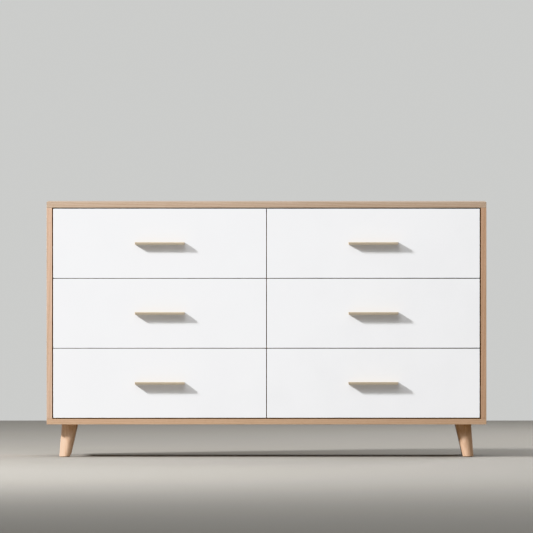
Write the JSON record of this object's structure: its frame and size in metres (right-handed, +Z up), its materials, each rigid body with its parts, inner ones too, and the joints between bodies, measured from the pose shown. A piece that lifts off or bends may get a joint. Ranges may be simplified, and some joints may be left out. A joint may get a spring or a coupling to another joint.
{
  "type": "dresser",
  "caption": "Low wide dresser with equal inset white drawers in a pale wood case, slim brass channel pulls, and tapered splayed wood legs.",
  "frame": {"origin": "bottom centre of the overall box, drawer handles included", "axes": "+X towards the right side seen from the front, +Y from the drawer fronts to the back, +Z up"},
  "size_m": [1.4, 0.4734, 0.812],
  "materials": {
    "case_wood": "satin veneer",
    "leg_wood": "satin solid wood",
    "white_lacquer": "satin white lacquer on fibreboard",
    "box_wood": "plain pale board",
    "hardboard": "painted hardboard",
    "rail_steel": "zinc plated",
    "brass": "satin brushed"
  },
  "bodies": {
    "case": {"top_panel": "case_wood", "bottom_panel": "case_wood", "left_side_panel": "case_wood", "right_side_panel": "case_wood", "centre_partition": "case_wood", "left_back_panel": "hardboard", "right_back_panel": "hardboard", "front_left_leg": "leg_wood", "front_right_leg": "leg_wood", "rear_left_leg": "leg_wood", "rear_right_leg": "leg_wood", "bottom_left_drawer_left_rail": "rail_steel", "bottom_left_drawer_right_rail": "rail_steel", "bottom_right_drawer_left_rail": "rail_steel", "bottom_right_drawer_right_rail": "rail_steel", "middle_left_drawer_left_rail": "rail_steel", "middle_left_drawer_right_rail": "rail_steel", "middle_right_drawer_left_rail": "rail_steel", "middle_right_drawer_right_rail": "rail_steel", "top_left_drawer_left_rail": "rail_steel", "top_left_drawer_right_rail": "rail_steel", "top_right_drawer_left_rail": "rail_steel", "top_right_drawer_right_rail": "rail_steel"},
    "bottom_left_drawer": {"bottom_left_drawer_front": "white_lacquer", "bottom_left_drawer_handle": "brass", "bottom_left_drawer_left_side": "box_wood", "bottom_left_drawer_right_side": "box_wood", "bottom_left_drawer_back": "box_wood", "bottom_left_drawer_bottom": "hardboard"},
    "bottom_right_drawer": {"bottom_right_drawer_front": "white_lacquer", "bottom_right_drawer_handle": "brass", "bottom_right_drawer_left_side": "box_wood", "bottom_right_drawer_right_side": "box_wood", "bottom_right_drawer_back": "box_wood", "bottom_right_drawer_bottom": "hardboard"},
    "middle_left_drawer": {"middle_left_drawer_front": "white_lacquer", "middle_left_drawer_handle": "brass", "middle_left_drawer_left_side": "box_wood", "middle_left_drawer_right_side": "box_wood", "middle_left_drawer_back": "box_wood", "middle_left_drawer_bottom": "hardboard"},
    "middle_right_drawer": {"middle_right_drawer_front": "white_lacquer", "middle_right_drawer_handle": "brass", "middle_right_drawer_left_side": "box_wood", "middle_right_drawer_right_side": "box_wood", "middle_right_drawer_back": "box_wood", "middle_right_drawer_bottom": "hardboard"},
    "top_left_drawer": {"top_left_drawer_front": "white_lacquer", "top_left_drawer_handle": "brass", "top_left_drawer_left_side": "box_wood", "top_left_drawer_right_side": "box_wood", "top_left_drawer_back": "box_wood", "top_left_drawer_bottom": "hardboard"},
    "top_right_drawer": {"top_right_drawer_front": "white_lacquer", "top_right_drawer_handle": "brass", "top_right_drawer_left_side": "box_wood", "top_right_drawer_right_side": "box_wood", "top_right_drawer_back": "box_wood", "top_right_drawer_bottom": "hardboard"}
  },
  "joints": [
    {"name": "bottom_left_drawer_slide", "type": "slide", "parent": "case", "child": "bottom_left_drawer", "axis": [0, -1, 0], "range_m": [0, 0.3]},
    {"name": "bottom_right_drawer_slide", "type": "slide", "parent": "case", "child": "bottom_right_drawer", "axis": [0, -1, 0], "range_m": [0, 0.3]},
    {"name": "middle_left_drawer_slide", "type": "slide", "parent": "case", "child": "middle_left_drawer", "axis": [0, -1, 0], "range_m": [0, 0.3]},
    {"name": "middle_right_drawer_slide", "type": "slide", "parent": "case", "child": "middle_right_drawer", "axis": [0, -1, 0], "range_m": [0, 0.3]},
    {"name": "top_left_drawer_slide", "type": "slide", "parent": "case", "child": "top_left_drawer", "axis": [0, -1, 0], "range_m": [0, 0.3]},
    {"name": "top_right_drawer_slide", "type": "slide", "parent": "case", "child": "top_right_drawer", "axis": [0, -1, 0], "range_m": [0, 0.3]}
  ]
}
